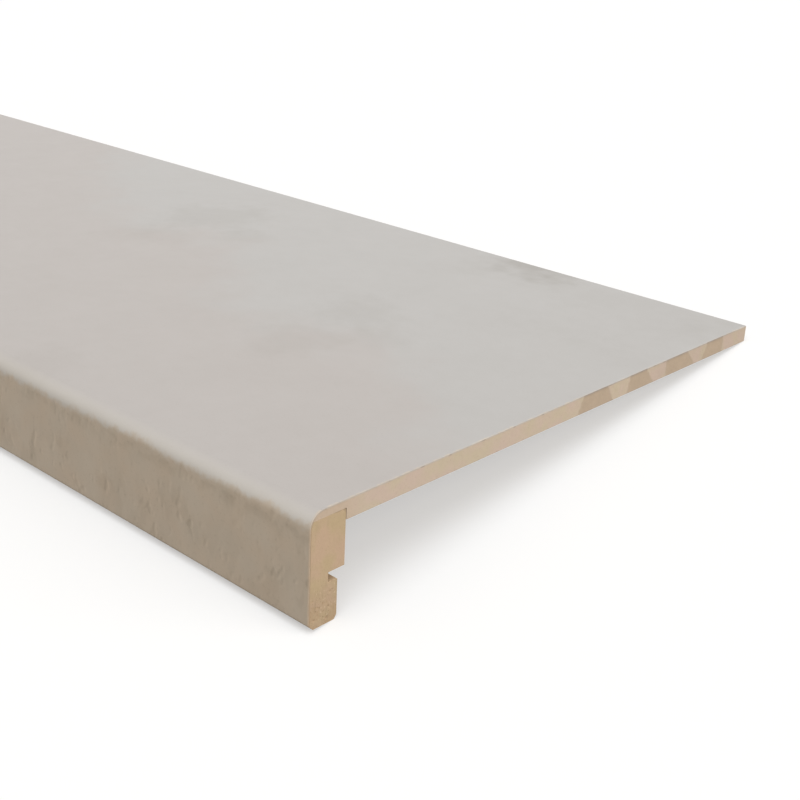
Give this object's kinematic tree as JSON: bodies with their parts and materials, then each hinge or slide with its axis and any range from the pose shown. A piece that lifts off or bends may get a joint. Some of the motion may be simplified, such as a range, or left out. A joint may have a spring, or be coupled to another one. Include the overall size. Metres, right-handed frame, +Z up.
{
  "type": "stair tread",
  "caption": "Overlay stair tread: a thin laminated fibreboard plate with a deep rounded nose block, grooved on its back for a riser board.",
  "frame": {"origin": "on the floor, under the middle of the tread's bounding box, as it lies unheld on its nose and back edge", "axes": "+X along the tread, +Y from the nose to the back edge, +Z up; the top leans back by 7.6 degrees"},
  "size_m": [1, 0.3638, 0.0565],
  "materials": {
    "laminate": "matt pale warm grey, soft concrete look",
    "board": "raw sawn fibreboard, pale tan",
    "nose_strip": "raw sawn fibreboard, warmer tan"
  },
  "bodies": {
    "root": {"decor_laminate": "laminate", "tread_board": "board", "nose_block": "nose_strip"}
  },
  "joints": []
}
